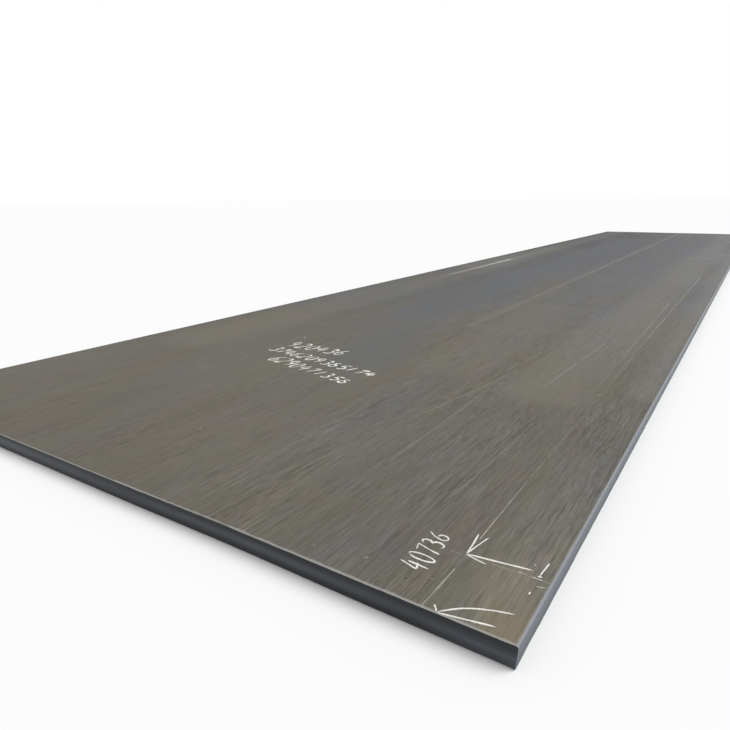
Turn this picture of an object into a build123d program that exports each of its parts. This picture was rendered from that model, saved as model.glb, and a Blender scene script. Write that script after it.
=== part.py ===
from build123d import *
import os

# A thick hot-rolled steel plate, cut to length and width on a shear, lying flat.
# Units are millimetres. X runs across the plate and Y along it, in the rolling
# direction. Z is up. The origin is the centre of the underside.

# Overall size of the plate, between its widest points
WIDTH = 2500
LENGTH = 12550
THICKNESS = 50

# A sheared edge has three zones. Where the moving blade came in, it drew the
# corner round. Next to that it cut a smooth upright band. Across the rest of
# the thickness the steel broke away, along a face that leans in to a sharp
# corner.
ROLL_OVER_RADIUS = 5
SMOOTH_BAND_HEIGHT = 21
SHARP = 0

# How far the broken face leans in, which is the gap between the blades. The
# side shear was set close, so its faces are nearly upright.
SIDE_BREAK_LEAN = 1
END_BREAK_LEAN = 2.5


def blade_from_below(reach, break_lean):
    """Corners of one edge and their radii, from the bottom up, drawn round below."""
    band_end = ROLL_OVER_RADIUS + SMOOTH_BAND_HEIGHT
    return [
        ((reach, 0), ROLL_OVER_RADIUS),
        ((reach, band_end), SHARP),
        ((reach - break_lean, THICKNESS), SHARP),
    ]


def blade_from_above(reach, break_lean):
    """The same edge turned over, from the bottom up, so it is drawn round above."""
    below = blade_from_below(reach, break_lean)
    return [((x, THICKNESS - z), radius) for (x, z), radius in reversed(below)]


def facing_back(edge):
    """The same edge on the other side of the plate, from the top down."""
    return [((-x, z), radius) for (x, z), radius in reversed(edge)]


def section(right_edge, left_edge):
    """The plate's outline between two edges, each with its corners and radii."""
    edges = right_edge + facing_back(left_edge)
    corners = [corner for corner, radius in edges]
    radii = [radius for corner, radius in edges]
    return make_face(FilletPolyline(*corners, radius=radii, close=True))


def trimmed_to_width():
    """The section across the plate, carried along its whole length.

    The side shear pushed the trimmings down, so both sides are drawn round above.
    """
    side = blade_from_above(WIDTH / 2, SIDE_BREAK_LEAN)
    return extrude(Plane.XZ * section(side, side), LENGTH / 2, both=True)


def cut_to_length():
    """The section along the plate, carried over its whole width.

    Each cut leaves one end drawn round above, on the piece that the shear held,
    and one drawn round below, on the piece that it pushed down. This plate has
    one of each: above at its +Y end, and below at its -Y end.
    """
    held_end = blade_from_above(LENGTH / 2, END_BREAK_LEAN)
    pushed_end = blade_from_below(LENGTH / 2, END_BREAK_LEAN)
    return extrude(Plane.YZ * section(held_end, pushed_end), WIDTH / 2, both=True)


def steel_plate():
    """What both cuts leave: their faces meet in a mitre at each upright corner."""
    return trimmed_to_width() & cut_to_length()


os.makedirs("parts", exist_ok=True)
plate = steel_plate()
plate.label = "steel_plate"
export_step(plate, os.path.join("parts", "steel_plate.step"))
print("steel_plate volume", round(plate.volume), "size", plate.bounding_box().size)
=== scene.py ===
# %% [markdown]
# This lesson dresses one thick plate of hot-rolled steel. The plate itself comes
# in as a finished solid, at its real size. Here it gets the skin that rolling
# left on it, the torn look of its sheared edges, and the chalk marks by which a
# plate marker set out where it is to be trimmed.

# %% Load the plate
import math

import bpy
import numpy as np
from mathutils import Matrix, Vector


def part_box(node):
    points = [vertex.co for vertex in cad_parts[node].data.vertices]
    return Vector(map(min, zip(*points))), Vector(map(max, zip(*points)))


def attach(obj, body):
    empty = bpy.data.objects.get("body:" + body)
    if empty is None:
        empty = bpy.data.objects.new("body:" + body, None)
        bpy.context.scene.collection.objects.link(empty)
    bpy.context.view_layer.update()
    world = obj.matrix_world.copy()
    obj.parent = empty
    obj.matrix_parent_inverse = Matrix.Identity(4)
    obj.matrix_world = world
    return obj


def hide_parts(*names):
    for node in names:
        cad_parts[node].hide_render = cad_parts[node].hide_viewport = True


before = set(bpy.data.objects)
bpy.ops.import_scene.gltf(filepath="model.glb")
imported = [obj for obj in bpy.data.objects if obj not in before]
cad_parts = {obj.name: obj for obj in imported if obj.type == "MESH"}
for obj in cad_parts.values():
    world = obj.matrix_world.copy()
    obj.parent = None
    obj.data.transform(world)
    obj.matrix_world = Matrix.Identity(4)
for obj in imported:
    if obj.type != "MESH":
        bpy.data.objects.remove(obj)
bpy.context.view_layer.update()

MM = 0.001
plate_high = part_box("steel_plate")[1]
HALF_WIDTH = plate_high.x
HALF_LENGTH = plate_high.y
THICKNESS = plate_high.z
print("plate", 2 * HALF_WIDTH, "by", 2 * HALF_LENGTH, "by", THICKNESS, "m")

# %% [markdown]
# The camera stands low beside the near right corner and looks along the plate to
# the left. A lens is easiest to set from its focal length in pixels, which comes
# from where the plate's long and short edges run together. The picture was
# cropped off centre, so the lens axis lies below its middle, and a small vertical
# shift puts it there.

# %% Camera
PICTURE_PIXELS = 730
FOCAL_PIXELS = 554.3
AXIS_PIXELS_BELOW_MIDDLE = 91.5
SENSOR_MM = 36.0
RIGHT_OF_SIDE = 0.1755
BEFORE_END = 0.7134
ABOVE_TOP = 0.6723
TURNED_LEFT = math.radians(33.654)
TILTED_DOWN = math.radians(24.983)
ROLLED = math.radians(-0.496)


def put_in_scene(name, data):
    """A new object with this data, unturned at the scene's origin."""
    thing = bpy.data.objects.new(name, data)
    bpy.context.scene.collection.objects.link(thing)
    return thing


camera_data = bpy.data.cameras.new("camera")
camera_data.sensor_width = SENSOR_MM
camera_data.lens = SENSOR_MM * FOCAL_PIXELS / PICTURE_PIXELS
camera_data.shift_y = AXIS_PIXELS_BELOW_MIDDLE / PICTURE_PIXELS
camera = put_in_scene("camera", camera_data)
camera_place = Matrix.Translation(
    (HALF_WIDTH + RIGHT_OF_SIDE, -HALF_LENGTH - BEFORE_END, THICKNESS + ABOVE_TOP)
)
camera.matrix_world = (
    camera_place
    @ Matrix.Rotation(TURNED_LEFT, 4, "Z")
    @ Matrix.Rotation(math.pi / 2 - TILTED_DOWN, 4, "X")
    @ Matrix.Rotation(ROLLED, 4, "Z")
)
bpy.context.scene.camera = camera
print("lens", round(camera_data.lens, 2), "mm, shift", round(camera_data.shift_y, 4))

# %% [markdown]
# A node tree in code is mostly two acts: add a node, and join a value to it. This
# small class holds both, and gives short names to the few sums that every
# material here needs. A value may be a number, a colour or another node's output.

# %% A short way to write node trees
# For each kind of value, the places of a Mix node's factor, two inputs and output
MIX_SOCKETS = {"FLOAT": (0, 2, 3, 0), "RGBA": (0, 6, 7, 2)}


def srgb(red, green, blue):
    """A picture's colour, 0 to 255, as a shader's linear one: c / 12.92 up to
    0.04045, and ((c + 0.055) / 1.055)^2.4 above."""
    c = np.array([red, green, blue]) / 255
    linear = np.where(c <= 0.04045, c / 12.92, ((c + 0.055) / 1.055) ** 2.4)
    return (*linear.tolist(), 1.0)


class Net:
    """Adds nodes to one tree and joins them."""

    def __init__(self, tree):
        self.tree = tree

    def add(self, kind, **settings):
        """One new node, with its settings."""
        node = self.tree.nodes.new(kind)
        for name, value in settings.items():
            setattr(node, name, value)
        return node

    def join(self, value, socket):
        """Links an output to a socket, or writes a plain value on it."""
        if isinstance(value, bpy.types.NodeSocket):
            self.tree.links.new(value, socket)
        else:
            socket.default_value = value

    def fill(self, node, values):
        """Joins values to a node's first inputs, in their order."""
        for value, socket in zip(values, node.inputs):
            self.join(value, socket)
        return node.outputs

    def feed(self, node, **values):
        """Joins values to a node's inputs by name, where _ stands for a space."""
        for name, value in values.items():
            self.join(value, node.inputs[name.replace("_", " ")])
        return node.outputs

    def calc(self, operation, *values):
        """One sum on one to three numbers."""
        return self.fill(self.add("ShaderNodeMath", operation=operation), values)[0]

    def times(self, first, second):
        """The product of two numbers."""
        return self.calc("MULTIPLY", first, second)

    def share(self, value, amount, base):
        """A base, and on top of it a value times an amount."""
        return self.calc("MULTIPLY_ADD", value, amount, base)

    def span(self, value, low, high, to_low=0.0, to_high=1.0):
        """Goes smoothly from to_low to to_high while value goes from low to high."""
        node = self.add("ShaderNodeMapRange", interpolation_type="SMOOTHSTEP")
        return self.fill(node, (value, low, high, to_low, to_high))[0]

    def mix(self, factor, first, second, kind="RGBA"):
        """The first colour, or number, with a share of the second."""
        node = self.add("ShaderNodeMix", data_type=kind)
        *places, out = MIX_SOCKETS[kind]
        for place, value in zip(places, (factor, first, second)):
            self.join(value, node.inputs[place])
        return node.outputs[out]

    def scale(self, vector, amount):
        """A vector or a colour, times a number."""
        node = self.add("ShaderNodeVectorMath", operation="SCALE")
        return self.feed(node, Vector=vector, Scale=amount)["Vector"]

    def vector(self, operation, first, second):
        """One sum on two vectors that gives a vector."""
        node = self.add("ShaderNodeVectorMath", operation=operation)
        return self.fill(node, (first, second))["Vector"]

    def dot(self, first, second):
        """The dot product of two vectors."""
        node = self.add("ShaderNodeVectorMath", operation="DOT_PRODUCT")
        return self.fill(node, (first, second))["Value"]

    def parts(self, vector):
        """The x, y and z of a vector."""
        return tuple(self.fill(self.add("ShaderNodeSeparateXYZ"), (vector,)))

    def whole(self, x, y, z):
        """A vector from its x, y and z."""
        return self.fill(self.add("ShaderNodeCombineXYZ"), (x, y, z))[0]

    def noise(self, vector, detail=2.0, roughness=0.5):
        """Soft noise, 0 to 1, with lumps about one unit wide."""
        node = self.add("ShaderNodeTexNoise", noise_dimensions="3D")
        return self.feed(node, Vector=vector, Scale=1.0, Detail=detail, Roughness=roughness)[0]

    def use(self, group, **inputs):
        """Places a node group, with values for its inputs by name."""
        return self.feed(self.add("ShaderNodeGroup", node_tree=group), **inputs)[0]


def new_group(name, inputs, output):
    """An empty node group with named inputs and one named output, a number."""
    tree = bpy.data.node_groups.new(name, "ShaderNodeTree")
    for label, kind, default in inputs:
        socket = tree.interface.new_socket(label, in_out="INPUT", socket_type=kind)
        if default is not None:
            socket.default_value = default
    tree.interface.new_socket(output, in_out="OUTPUT", socket_type="NodeSocketFloat")
    net = Net(tree)
    entry = net.add("NodeGroupInput")
    end = net.add("NodeGroupOutput")
    given = {label: entry.outputs[label] for label, kind, default in inputs}
    return tree, net, given, end.inputs[0]


# %% [markdown]
# Rolling draws everything on a plate out into streaks: scale, stains and scratches
# all lie along it. Noise gives such a streak when its two directions are measured
# with different rulers, a short one across and a long one along. The group
# takes both rulers, so one effect gives hairlines and hand-wide bands alike. The
# noise seldom strays more than a quarter from its mean, so four times that strays
# by about one.

# %% Streaks that lie along the rolling direction
NUMBER = "NodeSocketFloat"
VECTOR = "NodeSocketVector"
NOISE_MEAN = 0.5
NOISE_GAIN = 4.0

streak_inputs = [
    ("Across", NUMBER, 0.0),
    ("Along", NUMBER, 0.0),
    ("Width", NUMBER, 0.02),
    ("Length", NUMBER, 0.5),
    ("Shift", NUMBER, 0.0),
]
streaks, net, given, out = new_group("rolling_streaks", streak_inputs, "Streak")
drawn_out = net.whole(
    net.calc("DIVIDE", given["Across"], given["Width"]),
    net.calc("DIVIDE", given["Along"], given["Length"]),
    given["Shift"],
)
swing = net.calc("SUBTRACT", net.noise(drawn_out, detail=3.0, roughness=0.55), NOISE_MEAN)
net.join(net.times(swing, NOISE_GAIN), out)
print(streaks.name, len(streaks.nodes), "nodes")

# %% [markdown]
# A corner of steel is where it rubs first: chains, tongs and bearers take the
# scale off it and leave it bright. The bright band is also a painted highlight,
# where the rounded corner catches the light. The group measures how far a point is
# from the plate's upper corner line, whichever face it lies on, and wobbles the
# border with noise so that the wear and highlight come and go. A step down an edge
# counts twice, so the band reaches half as far there as on the upper face.

# %% Bright wear and a painted highlight along the upper corners
DOWN_COUNTS = 2.0
WEAR_PATCH = 0.03
REACH_LEAST, REACH_SWING = 0.65, 0.7
WHOLLY_WORN_AND_BRIGHT = 0.6

wear_inputs = [
    ("Position", VECTOR, None),
    ("Half Width", NUMBER, HALF_WIDTH),
    ("Half Length", NUMBER, HALF_LENGTH),
    ("Thickness", NUMBER, THICKNESS),
    ("Reach", NUMBER, 0.004),
]
corner_wear_and_highlight, net, given, out = new_group("corner_wear_and_highlight", wear_inputs, "Mask")
x, y, z = net.parts(given["Position"])
from_side = net.calc("SUBTRACT", given["Half Width"], net.calc("ABSOLUTE", x))
from_end = net.calc("SUBTRACT", given["Half Length"], net.calc("ABSOLUTE", y))
inside = net.calc("MINIMUM", from_side, from_end)
below = net.calc("SUBTRACT", given["Thickness"], z)
distance = net.calc("MAXIMUM", inside, net.times(below, DOWN_COUNTS))
patches = net.whole(net.calc("DIVIDE", x, WEAR_PATCH), net.calc("DIVIDE", y, WEAR_PATCH), 0.0)
wobble = net.share(net.noise(patches), REACH_SWING, REACH_LEAST)
reach = net.times(given["Reach"], wobble)
net.join(net.span(distance, net.times(reach, WHOLLY_WORN_AND_BRIGHT), reach, 1.0, 0.0), out)
print(corner_wear_and_highlight.name, len(corner_wear_and_highlight.nodes), "nodes")

# %% [markdown]
# Dust from a chalk line, a rubbed stripe, a scratch and a stain have one form in
# common: they are strong along a line and fade away beside it. The group finds
# the nearest point of a straight line and measures how far off it is. Long lumps
# of noise make the mark's width wander, fine crumbs break it up, and a fade lets
# it die out towards its far end.

# %% Marks along a line
LUMP_WIDE, LUMP_LONG = 4.0, 14.0    # in half widths of the mark
WANDER_LEAST, WANDER_SWING = 0.1, 2.2
GAPS_LEAST, GAPS_SWING, SOLID_FROM = 0.15, 0.35, 0.65
CORE = 0.3    # the share of the half width at which a mark is at full strength

trace_inputs = [
    ("Position", VECTOR, None),
    ("From", VECTOR, None),
    ("To", VECTOR, None),
    ("Half Width", NUMBER, 0.002),
    ("Broken", NUMBER, 0.5),
    ("Crumbs", NUMBER, 0.5),
    ("Fade", NUMBER, 0.0),
]
traces, net, given, out = new_group("line_trace", trace_inputs, "Mask")
run = net.vector("SUBTRACT", given["To"], given["From"])
reach = net.vector("SUBTRACT", given["Position"], given["From"])
along = net.calc("DIVIDE", net.dot(reach, run), net.dot(run, run))
along = net.calc("MINIMUM", net.calc("MAXIMUM", along, 0.0), 1.0)
aside = net.vector("SUBTRACT", reach, net.scale(run, along))
distance = net.calc("SQRT", net.dot(aside, aside))
half_width = given["Half Width"]
lump = net.whole(net.times(half_width, LUMP_WIDE), net.times(half_width, LUMP_LONG), 1.0)
wander = net.noise(net.vector("DIVIDE", given["Position"], lump), detail=1.0)
distance = net.times(distance, net.share(wander, WANDER_SWING, WANDER_LEAST))
mask = net.span(distance, net.times(half_width, CORE), half_width, 1.0, 0.0)
gaps_below = net.share(given["Broken"], GAPS_SWING, GAPS_LEAST)
solid = net.span(given["Crumbs"], gaps_below, SOLID_FROM)
mask = net.times(mask, net.mix(given["Broken"], 1.0, solid, kind="FLOAT"))
faded = net.calc("SUBTRACT", 1.0, net.times(given["Fade"], along))
net.join(net.times(mask, faded), out)
print(traces.name, len(traces.nodes), "nodes")

# %% [markdown]
# Steel under scale isn't smooth. A fine grain of pits breaks up the shine, and it
# belongs in the bump, not in the mesh, because it is finer than any mesh here.

# %% Fine grain
grain_inputs = [("Position", VECTOR, None), ("Size", NUMBER, 0.004)]
grain, net, given, out = new_group("scale_grain", grain_inputs, "Height")
fine = net.vector("DIVIDE", given["Position"], given["Size"])
net.join(net.noise(fine, detail=4.0, roughness=0.6), out)
print(grain.name, len(grain.nodes), "nodes")

# %% [markdown]
# Every material here ends in the same kind of shader, so one helper makes it, and
# the materials differ in what they feed it.

# %% A material's frame
def new_material(name):
    """An empty material, its net, its shader and the surface's own coordinates."""
    material = bpy.data.materials.new(name)
    material.use_nodes = True
    net = Net(material.node_tree)
    shader = material.node_tree.nodes["Principled BSDF"]
    place = net.add("ShaderNodeTexCoord").outputs["Object"]
    return material, net, shader, place


def finish_surface(net, shader, colour, roughness, gloss, metal, height, depth):
    """Joins a surface's colour and shine, and turns a height into bumps of that depth."""
    bumps = net.feed(net.add("ShaderNodeBump"), Distance=depth, Height=height)[0]
    net.feed(shader, Base_Color=colour, Roughness=roughness, Normal=bumps)
    net.feed(shader, Specular_IOR_Level=gloss, Metallic=metal)


# %% [markdown]
# The rolled faces carry mill scale, the thin hard oxide that forms while the plate
# cools. It is a dull brownish grey that drifts between olive, brown and blue-grey
# over a hand's width, because its thickness drifts. Three such tones are mixed by
# streaks, and towards the far end more blue-grey is painted in, a painted
# reflection of the sky where the view grazes the plate.

# %% Tones of the mill scale
OLIVE = srgb(111, 107, 97)
BROWN = srgb(112, 105, 100)
BLUE_GREY = srgb(106, 108, 111)
# Of each streak: its width and length in metres, a shift that picks its noise, and its strength
BLUE_STREAKS = [
    (0.3500, 1.30, 51.0, 0.42),
    (0.0300, 0.10, 71.0, 0.20),
]
BLUE_EVERYWHERE = 0.20
BLUE_PAINTED_SKY_FAR_OFF = 0.75
FAR_OFF = 7.0    # metres from the near end
BROWN_SHOWS = (-0.3, 0.9)
MOST_BROWN = 0.5

mill_scale, net, shader, place = new_material("mill_scale")
x, y, z = net.parts(place)


def top_streak(width, length, shift):
    """A streak on a rolled face, across x and along y."""
    return net.use(streaks, Across=x, Along=y, Width=width, Length=length, Shift=shift)


def add_streaks(total, rows):
    """A value with streaks added to it, each as strong as its row says."""
    for width, length, shift, strength in rows:
        total = net.share(top_streak(width, length, shift), strength, total)
    return total


def along_plate(start, end, at_start=0.0, at_end=1.0):
    """Goes smoothly from one value to another, between two distances from the near end."""
    return net.span(y, start - HALF_LENGTH, end - HALF_LENGTH, at_start, at_end)


far_off = along_plate(0.0, FAR_OFF)
# More blue-grey far down the plate is a painted reflection of the sky at a grazing view
blue = net.share(far_off, BLUE_PAINTED_SKY_FAR_OFF, add_streaks(BLUE_EVERYWHERE, BLUE_STREAKS))
tone = net.mix(net.span(blue, 0.0, 1.0), OLIVE, BLUE_GREY)
brown = net.span(top_streak(width=0.09, length=0.5, shift=67.0), *BROWN_SHOWS)
tone = net.mix(net.times(brown, MOST_BROWN), tone, BROWN)
print("scale tones", len(mill_scale.node_tree.nodes), "nodes")

# %% [markdown]
# Streaks of every size also lighten and darken the scale. Real ones gather in
# clusters with calmer scale between them, so the fine ones are multiplied by a
# broader streak. They are strongest on the right of the near end, where the plate
# has been rubbed, and weaker a few metres on. Thin pale hairlines and short pale
# flecks lie in the same clusters. Far down the plate the left is painted darker and
# the right paler, a painted sheen of the sky that grows towards the right.

# %% Streaks in the mill scale
BROAD_STREAKS = [
    (1.3000, 1.20, 2.0, 0.06),
    (0.1100, 2.10, 3.0, 0.04),
]
FINE_STREAKS = [
    (0.0360, 0.90, 11.0, 0.045),
    (0.0130, 0.35, 23.0, 0.085),
    (0.0055, 0.14, 37.0, 0.17),
    (0.0034, 0.045, 41.0, 0.15),
]
# The rubbed place, in metres right of the middle and in metres from the near end
RUBBED_FROM_MIDDLE = 0.65
RUBBED_WHOLLY, RUBBED_NO_MORE = 1.5, 4.0
# Of each kind: the streak's values at which it starts to show and shows wholly
CLUSTERS_SHOW = (-0.3, 0.7)
HAIRLINES_SHOW = (0.55, 1.05)
FLECKS_SHOW = (0.50, 1.05)
CALM = 0.2
RUBBED_CLUSTERS = 0.75
FINE_EVERYWHERE, FINE_IN_CLUSTERS, FINE_WHERE_RUBBED = 0.50, 0.85, 0.30
FLECKS_EVERYWHERE, FLECKS_IN_CLUSTERS = 0.4, 0.7
HAIRLINE_LIGHT, FLECK_LIGHT = 0.22, 0.20
FAR_MIDDLE_DARKER, FAR_RIGHT_PALER = -0.10, 0.26

rubbed = net.times(net.span(x, 0.0, RUBBED_FROM_MIDDLE),
                   along_plate(RUBBED_WHOLLY, RUBBED_NO_MORE, 1.0, 0.0))
broad = top_streak(width=0.16, length=0.9, shift=59.0)
clusters = net.span(broad, *CLUSTERS_SHOW, CALM, 1.0)
clusters = net.times(clusters, net.share(rubbed, RUBBED_CLUSTERS, 1.0))
fine_strength = net.share(rubbed, FINE_WHERE_RUBBED, FINE_EVERYWHERE)
fine_strength = net.share(clusters, FINE_IN_CLUSTERS, fine_strength)
brightness = add_streaks(1.0, BROAD_STREAKS)
brightness = net.share(add_streaks(0.0, FINE_STREAKS), fine_strength, brightness)
hairline = net.span(top_streak(width=0.0028, length=0.45, shift=83.0), *HAIRLINES_SHOW)
brightness = net.share(net.times(hairline, clusters), HAIRLINE_LIGHT, brightness)
fleck = net.span(top_streak(width=0.0040, length=0.030, shift=97.0), *FLECKS_SHOW)
fleck = net.times(fleck, net.share(clusters, FLECKS_IN_CLUSTERS, FLECKS_EVERYWHERE))
brightness = net.share(fleck, FLECK_LIGHT, brightness)
# Far down the plate: a painted sheen of the sky, paler to the right and darker to the left
far_painted_sheen = net.share(net.calc("DIVIDE", x, HALF_WIDTH), FAR_RIGHT_PALER, FAR_MIDDLE_DARKER)
brightness = net.share(far_off, far_painted_sheen, brightness)
tone = net.scale(tone, brightness)
print("scale streaks", len(mill_scale.node_tree.nodes), "nodes")

# %% [markdown]
# Handling leaves its own marks on the scale. Near the right corner the rust shows
# through as a warm stain, a taut chalked string was snapped along the line where
# the side is to be trimmed, and a rubbed stripe and a pale smear run far down the
# plate. Some rows are painted light instead: a painted sheen of the sky far down on
# the right, a painted shade line beside the right side's corner, and a painted
# highlight in the wear along the near edge. Each is a line with its width, and is
# given in the marker's own measure, millimetres from the near left corner. A later
# mark lies over an earlier one.

# %% Marks on the scale
CHALK_DUST = srgb(196, 192, 176)
CHALK_CLEAN = srgb(216, 216, 211)
RUBBED_AND_SHEEN = srgb(150, 148, 143)
WORN_AND_HIGHLIGHT = srgb(160, 159, 155)
WARM = srgb(142, 132, 108)
RED_BROWN = srgb(128, 102, 90)
STEEL_GREY = srgb(100, 103, 107)
PALE_SCALE = srgb(134, 130, 120)
DARK = srgb(62, 60, 56)
# Of each mark: x and y of its start and of its end, half its width, how broken it is,
# how much it fades towards its end, its colour, and its strength
SCALE_MARKS = [
    # Broad drifts of tone
    (1300, 1350, 980, 2600, 330, 0.0, 0.0, STEEL_GREY, 0.40),
    (980, 2600, 860, 9500, 330, 0.0, 0.0, STEEL_GREY, 0.55),
    (300, 1300, 280, 8000, 380, 0.0, 0.3, PALE_SCALE, 0.26),
    (200, 5200, 230, 12550, 330, 0.0, 0.0, PALE_SCALE, 0.28),
    (2120, 1350, 2180, 7000, 290, 0.0, 0.0, PALE_SCALE, 0.36),
    # Far on the right: a painted sheen of the sky, in the rubbed colour
    (2210, 7200, 2240, 12550, 280, 0.0, 0.0, RUBBED_AND_SHEEN, 0.20),
    (1700, 1500, 1600, 3100, 330, 0.0, 0.0, PALE_SCALE, 0.15),
    (1640, 3270, 1930, 3350, 70, 0.2, 0.0, DARK, 0.12),
    (2485, 1500, 2490, 12550, 150, 0.0, 0.0, RUBBED_AND_SHEEN, 0.22),
    # Shades and stains near the right corner, a painted shade line beside it, and wear with a
    # painted highlight along its edges
    (2430, 40, 2400, 800, 150, 0.0, 0.7, RUBBED_AND_SHEEN, 0.18),
    (2470, 30, 2410, 170, 120, 0.2, 0.5, WARM, 0.55),
    (2140, 210, 2230, 270, 60, 0.6, 0.0, RED_BROWN, 0.13),
    # A painted shade: a thin dark line on the upper face beside the right side's corner
    (2486, 6000, 2488, 20, 6, 0.3, 0.0, DARK, 0.14),
    # Wear along the near edge, partly a painted highlight of its corner
    (1400, 6, 1830, 9, 6, 0.1, 0.0, WORN_AND_HIGHLIGHT, 0.62),
    (2500, 5, 1830, 9, 6, 0.1, 0.0, WORN_AND_HIGHLIGHT, 0.80),
    # The chalked line, the marks beside it and the pale hairlines left of it
    (2320, 140, 2316, 10, 2.8, 0.4, 0.3, CHALK_DUST, 0.72),
    (2311, 165, 2317, 200, 16, 0.5, 0.0, RUBBED_AND_SHEEN, 0.22),
    (2320, 270, 2317, 590, 2.6, 0.5, 0.6, CHALK_DUST, 0.78),
    (2317, 600, 2322, 1900, 4.5, 0.8, 0.5, RUBBED_AND_SHEEN, 0.50),
    (2320, 5300, 2314, 1300, 5, 0.6, 0.9, CHALK_DUST, 0.62),
    (2283, 195, 2500, 198, 2.4, 0.7, 0.0, CHALK_DUST, 0.34),
    (2180, 2300, 2221, 9900, 4.5, 0.8, 0.4, RUBBED_AND_SHEEN, 0.55),
    (2266, 3700, 2288, 1300, 7, 0.5, 0.9, RUBBED_AND_SHEEN, 0.80),
    (1850, 890, 1949, 1550, 6, 0.5, 0.2, RUBBED_AND_SHEEN, 0.48),
    (1950, 500, 1942, 1270, 5, 0.5, 0.2, RUBBED_AND_SHEEN, 0.46),
    (2186, 400, 2204, 900, 4, 0.6, 0.2, RUBBED_AND_SHEEN, 0.44),
    (2110, 1400, 2155, 2300, 8, 0.5, 0.2, RUBBED_AND_SHEEN, 0.42),
    # The rubbed stripe and the pale smear
    (1365, 12550, 1400, 2300, 48, 0.3, 0.4, RUBBED_AND_SHEEN, 0.36),
    (272, 5900, 276, 3600, 50, 0.4, 0.8, RUBBED_AND_SHEEN, 0.50),
    (272, 5700, 262, 7600, 70, 0.4, 0.9, RUBBED_AND_SHEEN, 0.40),
    (271, 6050, 277, 4400, 30, 0.3, 0.8, CHALK_CLEAN, 0.74),
    (300, 4700, 298, 5100, 16, 0.4, 0.0, DARK, 0.25),
    # Pits and crumbs of chalk
    (2252, 60, 2253, 62, 5, 0.0, 0.0, DARK, 0.55),
    (2209, 21, 2210, 23, 5, 0.0, 0.0, DARK, 0.45),
    (2195, 27, 2196, 28, 4, 0.0, 0.0, DARK, 0.40),
    (2294, 87, 2297, 89, 4, 0.5, 0.0, CHALK_DUST, 0.45),
    (2311, 1406, 2313, 1411, 6, 0.5, 0.0, CHALK_DUST, 0.45),
    (2031, 52, 2034, 55, 3, 0.3, 0.0, CHALK_DUST, 0.35),
    (2148, 76, 2151, 79, 3, 0.3, 0.0, CHALK_DUST, 0.40),
    (1304, 380, 1308, 385, 5, 0.3, 0.0, CHALK_DUST, 0.40),
]
CRUMBS_PER_METRE = 45.0


def on_top(x, y):
    """A point of the upper face, given in mm from its near left corner."""
    return (x * MM - HALF_WIDTH, y * MM - HALF_LENGTH, THICKNESS)


crumbs = net.noise(net.scale(place, CRUMBS_PER_METRE), detail=4.0, roughness=0.65)
for x0, y0, x1, y1, half_width, broken, fade, colour, strength in SCALE_MARKS:
    mark = net.use(traces, Position=place, From=on_top(x0, y0), To=on_top(x1, y1),
                   Half_Width=half_width * MM, Broken=broken, Crumbs=crumbs, Fade=fade)
    tone = net.mix(net.times(mark, strength), tone, colour)
print(len(SCALE_MARKS), "marks on the scale")

# %% [markdown]
# Last come the worn corner, with its painted highlight, and the shine. Scale is an
# oxide and doesn't shine as bare steel does, so its metallic share is small and its
# gloss is broad and weak.

# %% Gloss and grain of the mill scale
SCALE_WEAR_AND_HIGHLIGHT_REACH = 7 * MM
SCALE_ROUGHNESS, ROUGHNESS_DRIFT = 0.72, 0.05
SCALE_GRAIN_SIZE = 5 * MM
SCALE_GRAIN_DEPTH = 0.4 * MM

# Worn steel along the upper corners, partly a painted highlight of the rounded corner
worn_and_highlight = net.use(corner_wear_and_highlight, Position=place, Reach=SCALE_WEAR_AND_HIGHLIGHT_REACH)
tone = net.mix(worn_and_highlight, tone, WORN_AND_HIGHLIGHT)
drift = top_streak(width=0.05, length=0.8, shift=91.0)
dull = net.share(drift, ROUGHNESS_DRIFT, SCALE_ROUGHNESS)
grit = net.use(grain, Position=place, Size=SCALE_GRAIN_SIZE)
finish_surface(net, shader, tone, roughness=dull, gloss=0.05, metal=0.05,
               height=grit, depth=SCALE_GRAIN_DEPTH)
print(mill_scale.name, len(mill_scale.node_tree.nodes), "nodes")

# %% [markdown]
# The ends were cut across. Their steel is darker than the scale, a cold blue-grey,
# and part of that dark is painted shade. Where the smooth band ends and the torn face
# begins there is a lighter ridge, partly the burnished steel and partly a painted
# highlight. The face is dark again past it, and at the near end the dark below it is
# painted shade. The distance from the drawn corner, which is the lower one at the near
# end and the upper one at the far end, tells the zones apart. Only the band's last
# stretch, by the right corner, is clean and pale.

# %% Sheared ends
END_DARK_AND_PAINTED_SHADE = srgb(62, 64, 67)
END_LIGHT = srgb(100, 104, 112)
RIDGE_RISES = (10 * MM, 26 * MM)
RIDGE_FALLS = (30 * MM, 44 * MM)
CLEAN_UP_TO = (22 * MM, 34 * MM)
CLEAN_FROM_X = (1.02, 1.20)
RIDGE_LIGHT, RIDGE_DRIFT = 0.6, 0.35
CLEAN_LIGHT = 0.50
END_LINES = 0.10
TORN_GRAIN_SIZE = 6 * MM

sheared_end, net, shader, place = new_material("sheared_end")
x, y, z = net.parts(place)
near_end = net.calc("LESS_THAN", y, 0.0)
far_end = net.calc("SUBTRACT", 1.0, near_end)
from_top = net.calc("SUBTRACT", THICKNESS, z)
drawn = net.calc("ADD", net.times(near_end, z), net.times(far_end, from_top))
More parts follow.
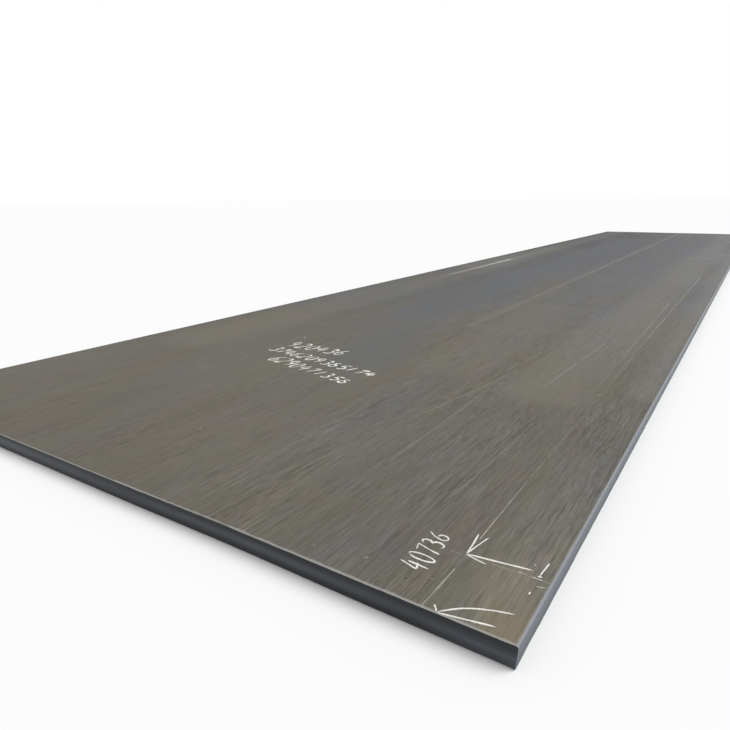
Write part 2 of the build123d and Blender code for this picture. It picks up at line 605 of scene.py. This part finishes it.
# The lighter ridge is partly burnished steel and partly a painted highlight; at the near end the
# dark below it is painted shade
ridge_and_painted_highlight = net.times(net.span(drawn, *RIDGE_RISES), net.span(drawn, *RIDGE_FALLS, 1.0, 0.0))
drift = net.use(streaks, Across=z, Along=x, Width=0.09, Length=0.55, Shift=5.0)
light = net.times(ridge_and_painted_highlight, net.share(drift, RIDGE_DRIFT, RIDGE_LIGHT))
clean = net.times(net.span(x, *CLEAN_FROM_X), net.span(drawn, *CLEAN_UP_TO, 1.0, 0.0))
light = net.share(clean, CLEAN_LIGHT, light)
line = net.use(streaks, Across=z, Along=x, Width=0.006, Length=0.35, Shift=9.0)
tone = net.scale(net.mix(light, END_DARK_AND_PAINTED_SHADE, END_LIGHT), net.share(line, END_LINES, 1.0))
torn = net.use(grain, Position=place, Size=TORN_GRAIN_SIZE)
finish_surface(net, shader, tone, roughness=0.5, gloss=0.2, metal=0.2,
               height=torn, depth=0.8 * MM)
print(sheared_end.name, len(sheared_end.node_tree.nodes), "nodes")

# %% [markdown]
# The long sides were trimmed to width. Their pale blue-grey is partly the clean
# steel and partly a painted reflection of the sky, and it is painted darker
# downwards as painted shade. The corner that the blade drew round is brighter
# still, partly wear and partly a painted highlight. Fine lines run along the sides,
# where the trimmings slid off.

# %% Sheared sides
SIDE_BLUE_AND_PAINTED_SKY = srgb(110, 118, 127)
SIDE_PAINTED_SHADE_LOW = srgb(85, 93, 100)
SIDE_WORN_AND_HIGHLIGHT = srgb(140, 143, 147)
SIDE_PAINTED_SHADE_SPAN = (9 * MM, 40 * MM)
SIDE_LINES, SIDE_DRIFT = 0.10, 0.08
SIDE_WEAR_AND_HIGHLIGHT_REACH = 7.5 * MM

sheared_side, net, shader, place = new_material("sheared_side")
x, y, z = net.parts(place)
from_top = net.calc("SUBTRACT", THICKNESS, z)
# Painted shade: the side is painted darker towards its foot; its blue-grey is partly a painted
# reflection of the sky
tone = net.mix(net.span(from_top, *SIDE_PAINTED_SHADE_SPAN), SIDE_BLUE_AND_PAINTED_SKY, SIDE_PAINTED_SHADE_LOW)
line = net.use(streaks, Across=z, Along=y, Width=0.004, Length=0.8, Shift=19.0)
drift = net.use(streaks, Across=z, Along=y, Width=0.2, Length=1.2, Shift=29.0)
tone = net.scale(tone, net.share(line, SIDE_LINES, net.share(drift, SIDE_DRIFT, 1.0)))
# Worn steel along the upper corner, partly a painted highlight of the rounded corner
worn_and_highlight = net.use(corner_wear_and_highlight, Position=place, Reach=SIDE_WEAR_AND_HIGHLIGHT_REACH)
tone = net.mix(worn_and_highlight, tone, SIDE_WORN_AND_HIGHLIGHT)
torn = net.use(grain, Position=place, Size=TORN_GRAIN_SIZE)
finish_surface(net, shader, tone, roughness=0.48, gloss=0.15, metal=0.15,
               height=torn, depth=0.5 * MM)
print(sheared_side.name, len(sheared_side.node_tree.nodes), "nodes")

# %% [markdown]
# The solid's edges are true to size but smooth, as drawn. On the real plate the
# torn zone is lumpy, the smooth band is finely scored, and a thin burr stands on
# the sharp corner. So a closed skin is worked out anew: a stack of rings round
# the plate, one for each height, whose inset follows the sheared section. This
# cell has the section itself, with the sizes that the solid has too.

# %% The sheared section
ROLL_OVER = 5 * MM
BAND_END = 26 * MM
SIDE_LEAN = 1 * MM
END_LEAN = 2.5 * MM


def smooth_step(low, high, value):
    """0 below low, 1 above high, and 3t² - 2t³ between them."""
    t = np.clip((value - low) / (high - low), 0, 1)
    return t * t * (3 - 2 * t)


def edge_inset(h, lean, band_end):
    """How far an edge lies inside its widest point, at h from its drawn corner: a
    quarter circle r - sqrt(r² - (r - h)²), then nothing, then an even lean."""
    short = np.clip(ROLL_OVER - h, 0, ROLL_OVER)
    corner = ROLL_OVER - np.sqrt(ROLL_OVER**2 - short**2)
    return corner + lean * np.clip((h - band_end) / (THICKNESS - band_end), 0, 1)


end_inset = edge_inset(THICKNESS, END_LEAN, BAND_END)
print("the ends lean in by", round(end_inset / MM, 2), "mm")

# %% [markdown]
# Roughness is noise on a grid of random values. Each kind of it has its own ruler
# along the edge and up it: long waves, upright scores in the smooth band, and two
# sizes of lump where the steel tore. The near cut also runs a little hollow,
# which is the shape of that one cut and not noise.

# %% The roughness of the edges
NOISE_LONG, NOISE_WIDE = 4096, 64
# Of each kind: how far it stands out, and its length along the edge and up it, in metres
WAVES = (0.35 * MM, 0.9, math.inf)
SCORES = (0.10 * MM, 0.009, 0.08)
LUMPS = (0.32 * MM, 0.026, 0.007)
CRUMBS = (0.20 * MM, 0.011, 0.004)
BAND_END_WANDERS = (2.5 * MM, 0.16, math.inf)
TEAR_STARTS = (BAND_END - 1 * MM, BAND_END + 3 * MM)
HOLLOW_DEPTH = 3.5 * MM
HOLLOW_AT = 0.58
HOLLOW_LENGTH = 0.26


def soft_noise(u, v, seed):
    """Values from -1 to 1: a random one at each whole u and v, and between them a
    smooth blend by the curve 3t² - 2t³ in both directions."""
    table = np.random.default_rng(seed).uniform(-1, 1, (NOISE_LONG, NOISE_WIDE))
    u, v = np.broadcast_arrays(u, v)
    u0, v0 = np.floor(u).astype(int), np.floor(v).astype(int)
    fu, fv = u - u0, v - v0
    fu, fv = fu * fu * (3 - 2 * fu), fv * fv * (3 - 2 * fv)
    u1, v1 = (u0 + 1) % NOISE_LONG, (v0 + 1) % NOISE_WIDE
    u0, v0 = u0 % NOISE_LONG, v0 % NOISE_WIDE
    low = table[u0, v0] * (1 - fu) + table[u1, v0] * fu
    high = table[u0, v1] * (1 - fu) + table[u1, v1] * fu
    return low * (1 - fv) + high * fv


def roughness(kind, s, h, seed):
    """Noise of one kind, outwards, at s along an edge and h up it. Where the kind is
    endlessly long up the edge, h makes no difference."""
    stands_out, long, high = kind
    return stands_out * soft_noise(s / long, h / high, seed)


def edge_relief(s, h, seed):
    """Waves, with scores on top of them in the band, and lumps where it is torn."""
    torn = smooth_step(*TEAR_STARTS, h)
    waves = roughness(WAVES, s, h, seed)
    scores = roughness(SCORES, s, h, seed + 1)
    lumps = roughness(LUMPS, s, h, seed + 2) + roughness(CRUMBS, s, h, seed + 3)
    return waves + (1 - torn) * scores + torn * lumps


def sheared_edge(s, h, lean, seed):
    """Inset of a real edge: the section, with a band end that wanders, less relief."""
    band_end = BAND_END + roughness(BAND_END_WANDERS, s, h, seed + 4)
    return edge_inset(h, lean, band_end) - edge_relief(s, h, seed)


def hollow(x):
    """The near cut runs hollow by d exp(-((x - x0) / l)²), a few millimetres at most."""
    return HOLLOW_DEPTH * np.exp(-(((x - HOLLOW_AT) / HOLLOW_LENGTH) ** 2))


# %% [markdown]
# Round the plate, stations are close together on the short ends and further apart
# on the long sides. Heights are close together where the section bends. Every
# station is worked out as if it were on a side and on an end, so the corners,
# which are on both, come out closed.

# %% Stations and heights
END_STEPS = 512
SIDE_STEPS = 880
BEND_STEPS = 6
STRAIGHT_HEIGHTS = np.array([42, 39, 36, 33, 30, 28, 26, 24, 22, 20, 17, 14, 11, 8]) * MM
SIDES_APART = 20.0    # metres of noise between the two long sides, so that they differ
SIDE_SEED, NEAR_SEED, FAR_SEED = 100, 200, 300

across = np.linspace(-1, 1, END_STEPS + 1)[:-1]
along = np.linspace(-1, 1, SIDE_STEPS + 1)[:-1]
flat_x, flat_y = np.ones(SIDE_STEPS), np.ones(END_STEPS)
round_x = np.concatenate([across, flat_x, -across, -flat_x])
round_y = np.concatenate([-flat_y, along, flat_y, -along])
STATIONS = len(round_x)

bend = ROLL_OVER * (1 - np.sin(np.linspace(np.pi / 2, 0, BEND_STEPS + 1)))
heights = np.concatenate([THICKNESS - bend, STRAIGHT_HEIGHTS, bend[::-1]])


def ring_at(z, step=1, inward=0.0):
    """One ring of points at height z: every step-th station, moved in by inward. Its x
    is a share of the half width less the side's inset, and its y a share of the way
    between the two ends, each less its own inset."""
    fx, fy = round_x[::step], round_y[::step]
    x0, y0 = fx * HALF_WIDTH, fy * HALF_LENGTH
    on_side, on_end = np.abs(fx) == 1, np.abs(fy) == 1
    from_top = THICKNESS - z
    rough_side = sheared_edge(y0 + SIDES_APART * (fx > 0), from_top, SIDE_LEAN, SIDE_SEED)
    rough_near = sheared_edge(x0, z, END_LEAN, NEAR_SEED) + hollow(x0)
    rough_far = sheared_edge(x0, from_top, END_LEAN, FAR_SEED)
    side = np.where(on_side, rough_side, edge_inset(from_top, SIDE_LEAN, BAND_END)) + inward
    near = np.where(on_end, rough_near, edge_inset(z, END_LEAN, BAND_END)) + inward
    far = np.where(on_end, rough_far, edge_inset(from_top, END_LEAN, BAND_END)) + inward
    x = fx * (HALF_WIDTH - side)
    share = (fy + 1) / 2
    y = (far - HALF_LENGTH) * -share + (near - HALF_LENGTH) * (1 - share)
    return np.stack([x, y, np.full_like(x, z)], 1)


print(len(heights), "rings of", STATIONS, "stations")

# %% [markdown]
# On the flat faces so many stations would be wasted, so each ring further in has
# half as many as the one before it, and a coarse grid fills the middle. The faces
# between two such rings are three triangles for every two stations.

# %% The flat faces
INWARD = [8 * MM, 26 * MM, 70 * MM, 160 * MM]


def between(outer, inner):
    """Quads from one ring of points to the next, seen with the outer ring first."""
    return np.stack([outer, np.roll(outer, -1), np.roll(inner, -1), inner], 1)


def halving(outer, inner):
    """Triangles from a ring to one with half as many points, three for every two."""
    a, b, c = outer[0::2], outer[1::2], np.roll(outer[0::2], -1)
    d, e = inner, np.roll(inner, -1)
    return np.concatenate([np.stack(t, 1) for t in ((a, b, d), (b, e, d), (b, c, e))])


def grid_inside(ring, first_new):
    """The numbers of a grid's points: the ring round it, and new ones inside."""
    nx, ny = END_STEPS >> len(INWARD), SIDE_STEPS >> len(INWARD)
    index = np.zeros((ny + 1, nx + 1), int)
    index[0, :] = ring[: nx + 1]
    index[:, nx] = ring[nx : nx + ny + 1]
    index[ny, ::-1] = ring[nx + ny : 2 * nx + ny + 1]
    index[::-1, 0] = np.append(ring[2 * nx + ny :], ring[0])
    index[1:ny, 1:nx] = first_new + np.arange((ny - 1) * (nx - 1)).reshape(ny - 1, nx - 1)
    return index


def even_steps(values, steps):
    """The points inside a stretch that is cut into so many even steps."""
    return np.interp(np.arange(1, steps), [0, steps], [values.min(), values.max()])


def flat_face(points, ring, z):
    """Fills a rolled face from its edge ring in: the halvings, and then the grid.
    Gives all points so far, the grid's quads and the halvings' triangles."""
    triangles = []
    for n, inward in enumerate(INWARD):
        new = ring_at(z, step=2 << n, inward=inward)
        inner = len(points) + np.arange(len(new))
        points = np.concatenate([points, new])
        triangles.append(halving(ring, inner))
        ring = inner
    index = grid_inside(ring, len(points))
    rows, columns = index.shape
    xs = even_steps(points[ring, 0], columns - 1)
    ys = even_steps(points[ring, 1], rows - 1)
    gx, gy = np.meshgrid(xs, ys)
    points = np.concatenate([points, np.stack([gx, gy, 0 * gx + z], 2).reshape(-1, 3)])
    quads = np.stack([index[:-1, :-1], index[:-1, 1:], index[1:, 1:], index[1:, :-1]], 2)
    return points, quads.reshape(-1, 4), np.concatenate(triangles)


# %% [markdown]
# The burr on the near end's upper corner is a ridge under a millimetre high. It
# catches the light as a bright line, which is why it is worth having. It stands
# on the top ring, with a lip of faces behind it that comes down to the flat.

# %% Points and faces of the skin
BURR_HEIGHT = 0.8 * MM
BURR_WIDTH = 1.5 * MM
BURR_SEED = 400
# Of each size of noise in the burr: its strength, and its length along the end in metres
BURR_WAVES = (1.0, 0.035, math.inf)
BURR_TEETH = (0.6, 0.012, math.inf)
BURR_MEAN, BURR_SWING, BURR_LEAST = 0.45, 0.55, 0.05


def burr(x):
    """Height of the burr along the near end: noise in two sizes, kept above zero."""
    rough = roughness(BURR_WAVES, x, 0, BURR_SEED) + roughness(BURR_TEETH, x, 0, BURR_SEED + 1)
    return BURR_HEIGHT * np.clip(BURR_MEAN + BURR_SWING * rough, BURR_LEAST, 1.0)


rings = [ring_at(z) for z in heights]
lip = ring_at(heights[0], inward=BURR_WIDTH)
near_station = round_y == -1
rings[0][near_station, 2] += burr(rings[0][near_station, 0])
points = np.concatenate([lip] + rings)
ring_index = np.arange(len(points)).reshape(-1, STATIONS)

walls = np.concatenate([between(b, a) for a, b in zip(ring_index[1:-1], ring_index[2:])])
lip_faces = between(ring_index[1], ring_index[0])
points, top_quads, top_triangles = flat_face(points, ring_index[0], heights[0])
points, low_quads, low_triangles = flat_face(points, ring_index[-1], heights[-1])
face_sets = [walls, lip_faces, top_quads, top_triangles, low_quads[:, ::-1], low_triangles[:, ::-1]]
faces = [face for face_set in face_sets for face in face_set.tolist()]
print("skin", len(points), "points,", len(faces), "faces")

# %% [markdown]
# Each wall face takes the finish of the edge that it is on, and all others are
# mill scale. Faces are shaded smooth, apart from where the section has a corner.

# %% Put the skin together
SCALE, END, SIDE = 0, 1, 2
SHARP_FROM = math.radians(35)

skin_mesh = bpy.data.meshes.new("plate_skin")
skin_mesh.from_pydata(points.tolist(), [], faces)
for material in (mill_scale, sheared_end, sheared_side):
    skin_mesh.materials.append(material)
round_finish = np.repeat([END, SIDE, END, SIDE], [END_STEPS, SIDE_STEPS] * 2)
finish = np.full(len(faces), SCALE, np.int32)
finish[: len(walls)] = np.tile(round_finish, len(heights) - 1)
skin_mesh.polygons.foreach_set("material_index", finish)
skin_mesh.polygons.foreach_set("use_smooth", np.ones(len(faces), bool))
skin_mesh.set_sharp_from_angle(angle=SHARP_FROM)
skin_mesh.update()
skin = put_in_scene("plate_skin", skin_mesh)
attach(skin, "root")
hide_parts("steel_plate")
print("skin finishes", np.bincount(finish), "faces of scale, end and side")

# %% [markdown]
# Chalk lies on the steel as a thin, slightly domed layer, thick where the hand
# pressed and thin where it lifted. Such a stroke is a profile carried along a
# path: a smooth curve through a few chosen points, a width that grows and dies
# away with it, and a low arch across it. Its foot is sunk a little into the
# plate, so no gap shows under it.

# %% A chalk stroke
STROKE_STEPS = 8
CHALK_HEIGHT = 0.28 * MM
CHALK_SUNK = 0.15 * MM
ARCH = np.array([(-0.5, 0.0), (-0.36, 0.7), (0.0, 1.0), (0.36, 0.7), (0.5, 0.0)])
LEAST_TAPER = 0.15
PRESS_LENGTH, PRESS_SEED = 0.018, 500
GRIT_LENGTH, GRIT_SEED = 0.006, 501
GRIT_SHARE = 0.3


def smooth_path(corners):
    """A Catmull-Rom curve: between two points p1 and p2 it is half of
    2 p1 + (p2 - p0) t + (2 p0 - 5 p1 + 4 p2 - p3) t² + (3 p1 - p0 - 3 p2 + p3) t³."""
    p = np.vstack([2 * corners[0] - corners[1], corners, 2 * corners[-1] - corners[-2]])
    t = np.linspace(0, 1, STROKE_STEPS, endpoint=False)[None, :, None]
    p0, p1, p2, p3 = (p[i : len(p) - 3 + i, None] for i in range(4))
    curve = 2 * p1 + (p2 - p0) * t + (2 * p0 - 5 * p1 + 4 * p2 - p3) * t**2
    curve = 0.5 * (curve + (3 * p1 - p0 - 3 * p2 + p3) * t**3)
    return np.vstack([curve.reshape(-1, 2), corners[-1:]])


def chalk_stroke(corners, width, uneven, seed):
    """Points, quads, end caps and UV of one stroke. At share t of its length it is as
    wide as width times 1.02 - (2t - 1)^8, kept between a least taper and 1, and more
    or less by a share uneven where the hand pressed or lifted."""
    path = smooth_path(np.array(corners, float)) * MM - (HALF_WIDTH, HALF_LENGTH)
    step = np.gradient(path, axis=0)
    step /= np.linalg.norm(step, axis=1, keepdims=True)
    side = np.stack([-step[:, 1], step[:, 0]], 1)
    length = np.append(0, np.cumsum(np.linalg.norm(np.diff(path, axis=0), axis=1)))
    taper = np.clip(1.02 - np.abs(2 * length / length[-1] - 1) ** 8, LEAST_TAPER, 1)
    press = soft_noise(length / PRESS_LENGTH, seed, PRESS_SEED)
    grit = soft_noise(length / GRIT_LENGTH, seed, GRIT_SEED)
    wide = width * MM * taper * (1 + uneven * press)
    rise = CHALK_HEIGHT * taper * (1 + GRIT_SHARE * grit)
    flat = path[:, None] + side[:, None] * (ARCH[None, :, :1] * wide[:, None, None])
    high = THICKNESS - CHALK_SUNK + ARCH[None, :, 1] * (rise + CHALK_SUNK)[:, None]
    points = np.concatenate([flat, high[..., None]], 2).reshape(-1, 3)
    index = np.arange(len(points)).reshape(-1, len(ARCH))
    around = np.concatenate([index, index[:, :1]], 1)
    quads = np.stack([around[:-1, :-1], around[1:, :-1], around[1:, 1:], around[:-1, 1:]], 2)
    caps = np.stack([index[0], index[-1, ::-1]])
    uv = np.stack([np.repeat(length, len(ARCH)), np.tile(ARCH[:, 0] + 0.5, len(path))], 1)
    return points, quads.reshape(-1, 4)[:, ::-1], caps, uv


def chalk_piece(name, strokes, uneven):
    """One object from many strokes, each a list of points with a width in mm."""
    points, faces, uv, first = [], [], [], 0
    for seed, (corners, width) in enumerate(strokes):
        new_points, quads, caps, new_uv = chalk_stroke(corners, width, uneven, seed)
        faces += (first + quads).tolist() + (first + caps).tolist()
        points.append(new_points)
        uv.append(new_uv)
        first += len(new_points)
    mesh = bpy.data.meshes.new(name)
    mesh.from_pydata(np.concatenate(points).tolist(), [], faces)
    corner_point = np.zeros(len(mesh.loops), np.int32)
    mesh.loops.foreach_get("vertex_index", corner_point)
    layer = mesh.uv_layers.new(name="along_and_across")
    layer.data.foreach_set("uv", np.concatenate(uv)[corner_point].ravel())
    mesh.polygons.foreach_set("use_smooth", np.ones(len(faces), bool))
    mesh.materials.append(chalk)
    mesh.update()
    piece = put_in_scene(name, mesh)
    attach(piece, "root")
    print(name, len(strokes), "strokes,", len(faces), "faces")


# %% [markdown]
# Chalk catches only on the high spots of the scale, so a stroke is speckled, and
# more so at its borders. The stroke's own UV map tells how far a point is from
# its middle, and noise decides where the steel shows through.

# %% Chalk
CHALK_WHITE = srgb(250, 249, 243)
CHALK_THIN = srgb(186, 183, 174)
SPECKLE_SIZE = 2.2 * MM
THINNER_AT_BORDER = 0.16
THIN_COVER, FULL_COVER = 0.30, 0.46

chalk, net, shader, place = new_material("chalk")
stroke_uv = net.add("ShaderNodeUVMap", uv_map="along_and_across").outputs[0]
across_stroke = net.parts(stroke_uv)[1]
off_middle = net.times(net.calc("ABSOLUTE", net.calc("SUBTRACT", across_stroke, 0.5)), 2.0)
speckle = net.use(grain, Position=place, Size=SPECKLE_SIZE)
cover = net.calc("SUBTRACT", speckle, net.times(off_middle, THINNER_AT_BORDER))
tone = net.mix(net.span(cover, THIN_COVER, FULL_COVER), CHALK_THIN, CHALK_WHITE)
finish_surface(net, shader, tone, roughness=0.9, gloss=0.1, metal=0.0,
               height=speckle, depth=0.3 * MM)
print(chalk.name, len(chalk.node_tree.nodes), "nodes")

# %% [markdown]
# The plate marker drew two arrows to the trimming line, with ticks at the edge to
# show what they measure from. Straight strokes need two points, and the long arc
# at the near end needs five. A few specks of chalk fell beside them.

# %% Chalked arrows
# Of each stroke: its points in mm from the near left corner, and its width in mm
ARROW_STROKES = [
    ([(2318, 202), (2315, 243), (2310, 286)], 4.5),
    ([(2318, 203), (2326, 243), (2334, 283)], 4.0),
    ([(2318, 201), (2386, 210), (2454, 220)], 6.0),
    ([(2319, 200), (2343, 193), (2367, 189)], 4.5),
    ([(2469, 209), (2471, 234), (2473, 261)], 3.8),
    ([(2466, 206), (2475, 208)], 5.0),
    ([(2428, 200), (2436, 200), (2444, 200)], 1.6),
    ([(2456, 199), (2468, 198), (2479, 198)], 1.8),
    ([(2473, 174), (2481, 176), (2490, 179)], 1.8),
    ([(2347, 6), (2357, 18), (2387, 44), (2428, 64), (2467, 76)], 5.2),
    ([(2349, 6), (2391, 15), (2451, 28)], 5.2),
    ([(2334, 23), (2341, 15), (2346, 8)], 3.5),
]
SPECKS = [
    ((2469, 144), (2470, 152), 4.5),
    ((2450, 239), (2452, 241), 3.0),
    ((775, 1566), (781, 1574), 7.0),
]
dots = [([start, end], width) for start, end, width in SPECKS]
chalk_piece("chalk_arrows", ARROW_STROKES + dots, uneven=0.25)

# %% [markdown]
# A plate is numbered by hand, quickly, in figures that lean and shrink along the
# row. Each figure here is one or two strokes in a box that is one unit high, and
# a row sets the boxes side by side from its start to its end. The numbers are
# made up.

# %% The ten figures
def arc(x, y, across, high, start, end):
    """Points x + a cos t, y + h sin t on an ellipse, t from start to end in degrees."""
    t = np.radians(np.linspace(start, end, 2 + abs(end - start) // 50))
    return np.stack([x + across * np.cos(t), y + high * np.sin(t)], 1).tolist()


FIGURES = {
    "0": [arc(0.30, 0.50, 0.24, 0.50, 110, 480)],
    "1": [[(0.34, 1.0), (0.28, 0.5), (0.20, 0.0)]],
    "2": [arc(0.28, 0.74, 0.24, 0.26, 160, -20) + [(0.28, 0.30), (0.03, 0.03), (0.58, 0.05)]],
    "3": [arc(0.26, 0.77, 0.22, 0.23, 150, -70) + arc(0.27, 0.27, 0.27, 0.27, 70, -140)],
    "4": [
        [(0.32, 1.0), (0.16, 0.68), (0.03, 0.40), (0.30, 0.40), (0.62, 0.44)],
        [(0.48, 0.78), (0.38, 0.0)],
    ],
    "5": [
        [(0.18, 0.98), (0.13, 0.56)] + arc(0.27, 0.30, 0.26, 0.30, 100, -130),
        [(0.20, 0.97), (0.58, 1.0)],
    ],
    "6": [[(0.48, 1.0), (0.20, 0.70)] + arc(0.28, 0.26, 0.22, 0.26, 170, 470)],
    "7": [[(0.04, 0.94), (0.30, 0.98), (0.55, 1.0), (0.50, 0.86), (0.34, 0.42), (0.24, 0.0)]],
    "8": [arc(0.30, 0.77, 0.18, 0.22, 20, 250) + arc(0.28, 0.27, 0.24, 0.27, 60, -270)],
    "9": [arc(0.28, 0.74, 0.21, 0.25, 20, 370) + [(0.44, 0.42), (0.32, 0.0)]],
}
print(len(FIGURES), "figures")

# %% [markdown]
# No two figures of a hand are alike, so each box is squeezed and shifted a little
# by chance. The chance has a seed, so every run draws the same rows.

# %% Chalked figures
# Of each row: its figures, its start and end, the height of its first and last figure,
# and the width of the chalk, all in mm from the near left corner
ROWS = [
    ("40736", (2278, 98), (2263, 247), 64, 42, 5.0),
    ("920436", (800, 1376), (1160, 1366), 96, 84, 10.0),
    ("3746209385174", (780, 1272), (1465, 1150), 76, 56, 9.5),
    ("6290471358", (905, 1136), (1432, 1014), 88, 46, 9.5),
]
ROW_SEED = 600
LEAN_OF_HAND = 0.12
SHAKE_OF_HAND = 0.03
LEAST_WIDE, MOST_WIDE = 1.15, 1.4


def chalked_row(text, start, end, first_height, last_height, width, seed):
    """Strokes of a row of figures: each figure's box is turned to the row, made as
    high as its place along the row says, and shaken a little."""
    rng = np.random.default_rng(seed)
    start, end = np.array(start, float), np.array(end, float)
    along = (end - start) / len(text)
    right = along / np.linalg.norm(along)
    up = np.array([-right[1], right[0]])
    strokes = []
    for n, figure in enumerate(text):
        height = first_height + (last_height - first_height) * n / len(text)
        corner = start + along * n + up * rng.normal(0, SHAKE_OF_HAND * height)
        box_width = np.linalg.norm(along) * rng.uniform(LEAST_WIDE, MOST_WIDE)
        for stroke in FIGURES[figure]:
            box = np.array(stroke)
            lean = box[:, 1] * LEAN_OF_HAND * height
            placed = corner + np.outer(box[:, 0] * box_width + lean, right)
            strokes.append((placed + np.outer(box[:, 1] * height, up), width))
    return strokes


figure_strokes = []
for n, row in enumerate(ROWS):
    figure_strokes += chalked_row(*row, ROW_SEED + n)
chalk_piece("chalk_figures", figure_strokes, uneven=0.45)

# %% [markdown]
# Light is plain and even, as under a white sky: a dim world from all round, and one
# large soft sun from behind on the right, so the upper face and the right side
# are lit and the near end is in shade. The world is white to the camera and in
# reflections, and greyer to the surfaces that it lights.

# %% Light
SKY = 0.45
SUN = 2.1
SUN_SIZE = math.radians(40)
SUN_FROM = Vector((0.55, 0.35, 0.76))


def seen_plainly(net):
    """1 for the rays that show a thing to the camera, straight or in gloss or glass."""
    rays = net.add("ShaderNodeLightPath").outputs
    seen = net.calc("MAXIMUM", rays["Is Camera Ray"], rays["Is Glossy Ray"])
    return net.calc("MAXIMUM", seen, rays["Is Transmission Ray"])


world = bpy.data.worlds.new("white_room")
bpy.context.scene.world = world
world.use_nodes = True
world.node_tree.nodes.clear()
net = Net(world.node_tree)
strength = net.share(seen_plainly(net), 1.0 - SKY, SKY)
background = net.add("ShaderNodeBackground")
shine = net.feed(background, Color=(1.0, 1.0, 1.0, 1.0), Strength=strength)[0]
net.feed(net.add("ShaderNodeOutputWorld"), Surface=shine)

sun_data = bpy.data.lights.new("soft_sun", "SUN")
sun_data.energy = SUN
sun_data.angle = SUN_SIZE
sun = put_in_scene("soft_sun", sun_data)
sun.rotation_euler = SUN_FROM.to_track_quat("Z", "Y").to_euler()
print("sky", SKY, "and sun", SUN)

# %% [markdown]
# The floor is pale too, and lifted a little where it is seen, so that it fades
# into the background and still keeps the plate's shadow. What it throws back on
# the plate is greyer. It lies a hair below the plate, so the two don't flicker.

# %% Floor
FLOOR_SIZE = 400.0
FLOOR_BELOW = 0.5 * MM
FLOOR_SEEN = srgb(243, 243, 243)
FLOOR_LIFT = 0.12
FLOOR_BOUNCE = srgb(160, 160, 160)

floor_material = bpy.data.materials.new("pale_floor")
floor_material.use_nodes = True
floor_material.node_tree.nodes.clear()
net = Net(floor_material.node_tree)
seen = seen_plainly(net)
shade = net.mix(seen, FLOOR_BOUNCE, FLOOR_SEEN)
matt = net.feed(net.add("ShaderNodeBsdfDiffuse"), Color=shade)[0]
lift = net.feed(net.add("ShaderNodeEmission"), Strength=net.times(seen, FLOOR_LIFT))[0]
both = net.fill(net.add("ShaderNodeAddShader"), (matt, lift))[0]
net.feed(net.add("ShaderNodeOutputMaterial"), Surface=both)

floor_mesh = bpy.data.meshes.new("floor")
floor_corners = np.array([(-0.5, -0.5, 0), (0.5, -0.5, 0), (0.5, 0.5, 0), (-0.5, 0.5, 0)])
floor_points = floor_corners * FLOOR_SIZE - (0, 0, FLOOR_BELOW)
floor_mesh.from_pydata(floor_points.tolist(), [], [(0, 1, 2, 3)])
floor_mesh.materials.append(floor_material)
floor = put_in_scene("floor", floor_mesh)
print("floor", FLOOR_SIZE, "m square")

# %% [markdown]
# Standard shows a colour as it was written. The dressed plate has to fill the
# solid's box, and go past it by hardly anything.

# %% View
bpy.context.scene.view_settings.view_transform = "Standard"
